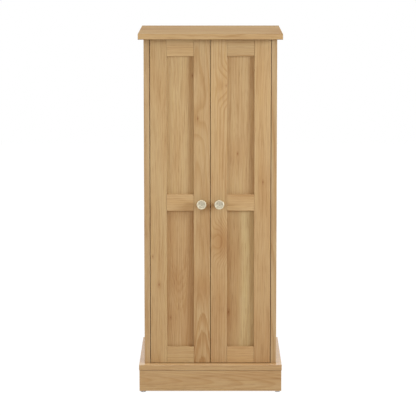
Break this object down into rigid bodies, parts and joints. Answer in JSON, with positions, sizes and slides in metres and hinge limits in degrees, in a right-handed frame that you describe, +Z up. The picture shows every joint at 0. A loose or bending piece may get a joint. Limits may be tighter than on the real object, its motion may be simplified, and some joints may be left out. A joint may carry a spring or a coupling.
{
  "type": "tall two-door storage cabinet",
  "caption": "Tall narrow oak-effect bathroom or hall cabinet with a pair of inset frame-and-panel doors on pin pivots, round knobs, inner shelves and a boxed plinth on glides.",
  "frame": {"origin": "on the floor, below the middle of the cabinet's footprint", "axes": "+Z up, front (doors) towards -Y, +X to the right seen from the front"},
  "size_m": [0.382, 0.396, 0.96],
  "materials": {
    "oak_carcass": "oak-effect laminate, satin",
    "oak_door": "oak-effect laminate, satin",
    "hardboard": "printed hardboard, matt",
    "pine": "raw sawn pine",
    "nickel": "satin nickel plate",
    "steel": "zinc plated",
    "nylon": "moulded, satin"
  },
  "bodies": {
    "carcass": {"top_panel": "oak_carcass", "base_panel": "oak_carcass", "left_side_panel": "oak_carcass", "right_side_panel": "oak_carcass", "fixed_shelf": "oak_carcass", "upper_shelf": "oak_carcass", "lower_shelf": "oak_carcass", "plinth_front": "oak_carcass", "plinth_left": "oak_carcass", "plinth_right": "oak_carcass", "plinth_back": "oak_carcass", "back_panel": "hardboard", "plinth_block_front_left": "pine", "plinth_block_front_right": "pine", "plinth_block_rear_left": "pine", "plinth_block_rear_right": "pine", "foot_front_left": "nylon", "foot_front_right": "nylon", "foot_rear_left": "nylon", "foot_rear_right": "nylon", "lower_shelf_pin_left_front": "nylon", "lower_shelf_pin_left_rear": "nylon", "lower_shelf_pin_right_front": "nylon", "lower_shelf_pin_right_rear": "nylon", "upper_shelf_pin_left_front": "nylon", "upper_shelf_pin_left_rear": "nylon", "upper_shelf_pin_right_front": "nylon", "upper_shelf_pin_right_rear": "nylon", "left_top_bush": "nylon", "left_bottom_bush": "nylon", "right_top_bush": "nylon", "right_bottom_bush": "nylon", "catch_housing": "nylon", "catch_magnet": "steel"},
    "left_door": {"left_door_hinge_stile": "oak_door", "left_door_meeting_stile": "oak_door", "left_door_top_rail": "oak_door", "left_door_middle_rail": "oak_door", "left_door_bottom_rail": "oak_door", "left_door_upper_panel": "oak_door", "left_door_lower_panel": "oak_door", "left_knob": "nickel", "left_knob_screw": "steel", "left_top_pivot_pin": "steel", "left_bottom_pivot_pin": "steel", "left_strike_plate": "steel"},
    "right_door": {"right_door_hinge_stile": "oak_door", "right_door_meeting_stile": "oak_door", "right_door_top_rail": "oak_door", "right_door_middle_rail": "oak_door", "right_door_bottom_rail": "oak_door", "right_door_upper_panel": "oak_door", "right_door_lower_panel": "oak_door", "right_knob": "nickel", "right_knob_screw": "steel", "right_top_pivot_pin": "steel", "right_bottom_pivot_pin": "steel", "right_strike_plate": "steel"}
  },
  "joints": [
    {"name": "left_door_swing", "type": "hinge", "parent": "carcass", "child": "left_door", "pos_m": [-0.151, -0.168, 0.51], "axis": [0, 0, -1], "range_deg": [0, 110]},
    {"name": "right_door_swing", "type": "hinge", "parent": "carcass", "child": "right_door", "pos_m": [0.151, -0.168, 0.51], "axis": [0, 0, 1], "range_deg": [0, 110]}
  ]
}
